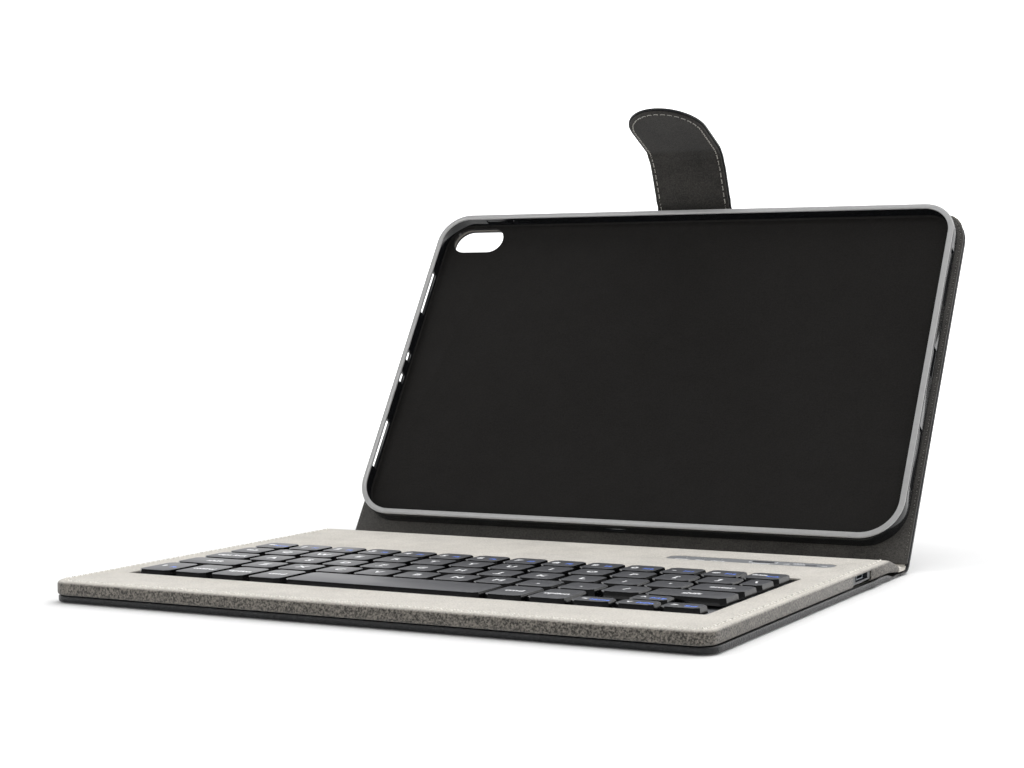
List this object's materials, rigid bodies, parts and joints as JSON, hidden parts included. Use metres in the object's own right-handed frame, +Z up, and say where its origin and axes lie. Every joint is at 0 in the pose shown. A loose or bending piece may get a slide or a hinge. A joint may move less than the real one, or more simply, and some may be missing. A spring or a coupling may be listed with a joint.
{
  "type": "tablet keyboard case",
  "caption": "Folio case for a tablet: flat keyboard half with black keys in a light lining, hinged spine, and a leaning back cover with a black tablet tray and a closing tab.",
  "frame": {"origin": "centre of the front cover's underside, on the surface the case stands on", "axes": "+Z up, +Y from the front edge towards the spine and back cover, +X to the typist's right"},
  "size_m": [0.2624, 0.3116, 0.1974],
  "materials": {
    "pu_leather": "smooth black coated leather, slight sheen",
    "grey_board": "plain stiffener board",
    "beige_lining": "warm light grey microfibre",
    "dark_suede": "dark brown-grey suede-like microfibre",
    "tray_tpu": "black moulded elastomer, glossy rim",
    "foam_tape": "black foam tape",
    "key_plastic": "satin black",
    "housing_plastic": "dark grey, fine texture",
    "steel": "bright sheet steel",
    "battery_foil": "pouch cell foil",
    "circuit_board": "green circuit board",
    "clear_plastic": "clear moulded plastic",
    "switch_foil": "printed switch foil"
  },
  "bodies": {
    "keyboard_half": {"front_cover_leather": "pu_leather", "front_cover_board": "grey_board", "catch_plate": "steel", "deck_wrap": "beige_lining", "keyboard_base_plate": "steel", "key_membrane": "switch_foil", "keyboard_housing": "housing_plastic", "battery": "battery_foil", "controller_board": "circuit_board", "usb_port": "steel", "port_bezel": "housing_plastic", "indicator_strip": "housing_plastic", "light_pipe_1": "clear_plastic", "light_pipe_2": "clear_plastic", "light_pipe_3": "clear_plastic"},
    "spine": {"spine_leather": "pu_leather", "spine_lining": "beige_lining"},
    "back_half": {"back_cover_leather": "pu_leather", "back_cover_board": "grey_board", "back_cover_lining": "dark_suede", "tray_adhesive": "foam_tape", "tray_shell": "tray_tpu"},
    "tab_base": {"tab_base_leather": "pu_leather", "tab_base_lining": "dark_suede"},
    "tab_edge": {"tab_edge_leather": "pu_leather", "tab_edge_lining": "dark_suede"},
    "tab_tip": {"tab_tip_leather": "pu_leather", "tab_tip_filler": "grey_board", "tab_magnet": "steel", "tab_tip_lining": "dark_suede"},
    "power_switch": {"power_switch_knob": "key_plastic"},
    "pairing_button": {"pair_button": "key_plastic"},
    "volume_down": {"volume_pad_down": "tray_tpu"},
    "volume_up": {"volume_pad_up": "tray_tpu"},
    "key_escape_body": {"key_escape": "key_plastic"},
    "number_keys_body": {"number_keys": "key_plastic"},
    "key_delete_body": {"key_delete": "key_plastic"},
    "key_tab_body": {"key_tab": "key_plastic"},
    "upper_letter_keys_body": {"upper_letter_keys": "key_plastic"},
    "key_backslash_body": {"key_backslash": "key_plastic"},
    "key_caps_lock_body": {"key_caps_lock": "key_plastic"},
    "home_letter_keys_body": {"home_letter_keys": "key_plastic"},
    "key_enter_body": {"key_enter": "key_plastic"},
    "key_shift_left_body": {"key_shift_left": "key_plastic"},
    "lower_letter_keys_body": {"lower_letter_keys": "key_plastic"},
    "key_shift_right_body": {"key_shift_right": "key_plastic"},
    "key_function_body": {"key_function": "key_plastic"},
    "key_control_body": {"key_control": "key_plastic"},
    "key_option_left_body": {"key_option_left": "key_plastic"},
    "key_command_left_body": {"key_command_left": "key_plastic"},
    "key_space_body": {"key_space": "key_plastic"},
    "key_command_right_body": {"key_command_right": "key_plastic"},
    "key_option_right_body": {"key_option_right": "key_plastic"},
    "key_arrow_left_body": {"key_arrow_left": "key_plastic"},
    "key_arrow_down_body": {"key_arrow_down": "key_plastic"},
    "key_arrow_up_body": {"key_arrow_up": "key_plastic"},
    "key_arrow_right_body": {"key_arrow_right": "key_plastic"}
  },
  "joints": [
    {"name": "spine_fold", "type": "hinge", "parent": "keyboard_half", "child": "spine", "pos_m": [0, 0.0988, 0.001], "axis": [1, 0, 0], "range_deg": [0, 90]},
    {"name": "back_fold", "type": "hinge", "parent": "spine", "child": "back_half", "pos_m": [0, 0.12, 0.001], "axis": [1, 0, 0], "range_deg": [-57.2, 32.8]},
    {"name": "tab_base_fold", "type": "hinge", "parent": "back_half", "child": "tab_base", "pos_m": [0, 0.21604, 0.15003], "axis": [-1, 0, 0], "range_deg": [-4, 110]},
    {"name": "tab_edge_fold", "type": "hinge", "parent": "tab_base", "child": "tab_edge", "pos_m": [0, 0.20619, 0.17301], "axis": [-1, 0, 0], "range_deg": [-42, 22]},
    {"name": "tab_tip_fold", "type": "hinge", "parent": "tab_edge", "child": "tab_tip", "pos_m": [0, 0.201, 0.18036], "axis": [-1, 0, 0], "range_deg": [-60, 40]},
    {"name": "power_switch_slide", "type": "slide", "parent": "keyboard_half", "child": "power_switch", "axis": [1, 0, 0], "range_m": [0, 0.0048]},
    {"name": "pairing_button_press", "type": "slide", "parent": "keyboard_half", "child": "pairing_button", "axis": [0, 0, -1], "range_m": [0, 0.0003], "stiffness_N_per_m": 600, "springref_m": -0.0005},
    {"name": "volume_down_press", "type": "slide", "parent": "back_half", "child": "volume_down", "axis": [0, -0.5408, -0.8412], "range_m": [0, 0.0005], "stiffness_N_per_m": 600, "springref_m": -0.0005},
    {"name": "volume_up_press", "type": "slide", "parent": "back_half", "child": "volume_up", "axis": [0, -0.5408, -0.8412], "range_m": [0, 0.0005], "stiffness_N_per_m": 600, "springref_m": -0.0005},
    {"name": "escape_press", "type": "slide", "parent": "keyboard_half", "child": "key_escape_body", "axis": [0, 0, -1], "range_m": [0, 0.0012], "stiffness_N_per_m": 300, "springref_m": -0.001},
    {"name": "number_press", "type": "slide", "parent": "keyboard_half", "child": "number_keys_body", "axis": [0, 0, -1], "range_m": [0, 0.0012], "stiffness_N_per_m": 300, "springref_m": -0.001},
    {"name": "delete_press", "type": "slide", "parent": "keyboard_half", "child": "key_delete_body", "axis": [0, 0, -1], "range_m": [0, 0.0012], "stiffness_N_per_m": 300, "springref_m": -0.001},
    {"name": "tab_press", "type": "slide", "parent": "keyboard_half", "child": "key_tab_body", "axis": [0, 0, -1], "range_m": [0, 0.0012], "stiffness_N_per_m": 300, "springref_m": -0.001},
    {"name": "upper_letter_press", "type": "slide", "parent": "keyboard_half", "child": "upper_letter_keys_body", "axis": [0, 0, -1], "range_m": [0, 0.0012], "stiffness_N_per_m": 300, "springref_m": -0.001},
    {"name": "backslash_press", "type": "slide", "parent": "keyboard_half", "child": "key_backslash_body", "axis": [0, 0, -1], "range_m": [0, 0.0012], "stiffness_N_per_m": 300, "springref_m": -0.001},
    {"name": "caps_lock_press", "type": "slide", "parent": "keyboard_half", "child": "key_caps_lock_body", "axis": [0, 0, -1], "range_m": [0, 0.0012], "stiffness_N_per_m": 300, "springref_m": -0.001},
    {"name": "home_letter_press", "type": "slide", "parent": "keyboard_half", "child": "home_letter_keys_body", "axis": [0, 0, -1], "range_m": [0, 0.0012], "stiffness_N_per_m": 300, "springref_m": -0.001},
    {"name": "enter_press", "type": "slide", "parent": "keyboard_half", "child": "key_enter_body", "axis": [0, 0, -1], "range_m": [0, 0.0012], "stiffness_N_per_m": 300, "springref_m": -0.001},
    {"name": "shift_left_press", "type": "slide", "parent": "keyboard_half", "child": "key_shift_left_body", "axis": [0, 0, -1], "range_m": [0, 0.0012], "stiffness_N_per_m": 300, "springref_m": -0.001},
    {"name": "lower_letter_press", "type": "slide", "parent": "keyboard_half", "child": "lower_letter_keys_body", "axis": [0, 0, -1], "range_m": [0, 0.0012], "stiffness_N_per_m": 300, "springref_m": -0.001},
    {"name": "shift_right_press", "type": "slide", "parent": "keyboard_half", "child": "key_shift_right_body", "axis": [0, 0, -1], "range_m": [0, 0.0012], "stiffness_N_per_m": 300, "springref_m": -0.001},
    {"name": "function_press", "type": "slide", "parent": "keyboard_half", "child": "key_function_body", "axis": [0, 0, -1], "range_m": [0, 0.0012], "stiffness_N_per_m": 300, "springref_m": -0.001},
    {"name": "control_press", "type": "slide", "parent": "keyboard_half", "child": "key_control_body", "axis": [0, 0, -1], "range_m": [0, 0.0012], "stiffness_N_per_m": 300, "springref_m": -0.001},
    {"name": "option_left_press", "type": "slide", "parent": "keyboard_half", "child": "key_option_left_body", "axis": [0, 0, -1], "range_m": [0, 0.0012], "stiffness_N_per_m": 300, "springref_m": -0.001},
    {"name": "command_left_press", "type": "slide", "parent": "keyboard_half", "child": "key_command_left_body", "axis": [0, 0, -1], "range_m": [0, 0.0012], "stiffness_N_per_m": 300, "springref_m": -0.001},
    {"name": "space_press", "type": "slide", "parent": "keyboard_half", "child": "key_space_body", "axis": [0, 0, -1], "range_m": [0, 0.0012], "stiffness_N_per_m": 300, "springref_m": -0.001},
    {"name": "command_right_press", "type": "slide", "parent": "keyboard_half", "child": "key_command_right_body", "axis": [0, 0, -1], "range_m": [0, 0.0012], "stiffness_N_per_m": 300, "springref_m": -0.001},
    {"name": "option_right_press", "type": "slide", "parent": "keyboard_half", "child": "key_option_right_body", "axis": [0, 0, -1], "range_m": [0, 0.0012], "stiffness_N_per_m": 300, "springref_m": -0.001},
    {"name": "arrow_left_press", "type": "slide", "parent": "keyboard_half", "child": "key_arrow_left_body", "axis": [0, 0, -1], "range_m": [0, 0.0012], "stiffness_N_per_m": 300, "springref_m": -0.001},
    {"name": "arrow_down_press", "type": "slide", "parent": "keyboard_half", "child": "key_arrow_down_body", "axis": [0, 0, -1], "range_m": [0, 0.0012], "stiffness_N_per_m": 300, "springref_m": -0.001},
    {"name": "arrow_up_press", "type": "slide", "parent": "keyboard_half", "child": "key_arrow_up_body", "axis": [0, 0, -1], "range_m": [0, 0.0012], "stiffness_N_per_m": 300, "springref_m": -0.001},
    {"name": "arrow_right_press", "type": "slide", "parent": "keyboard_half", "child": "key_arrow_right_body", "axis": [0, 0, -1], "range_m": [0, 0.0012], "stiffness_N_per_m": 300, "springref_m": -0.001}
  ]
}
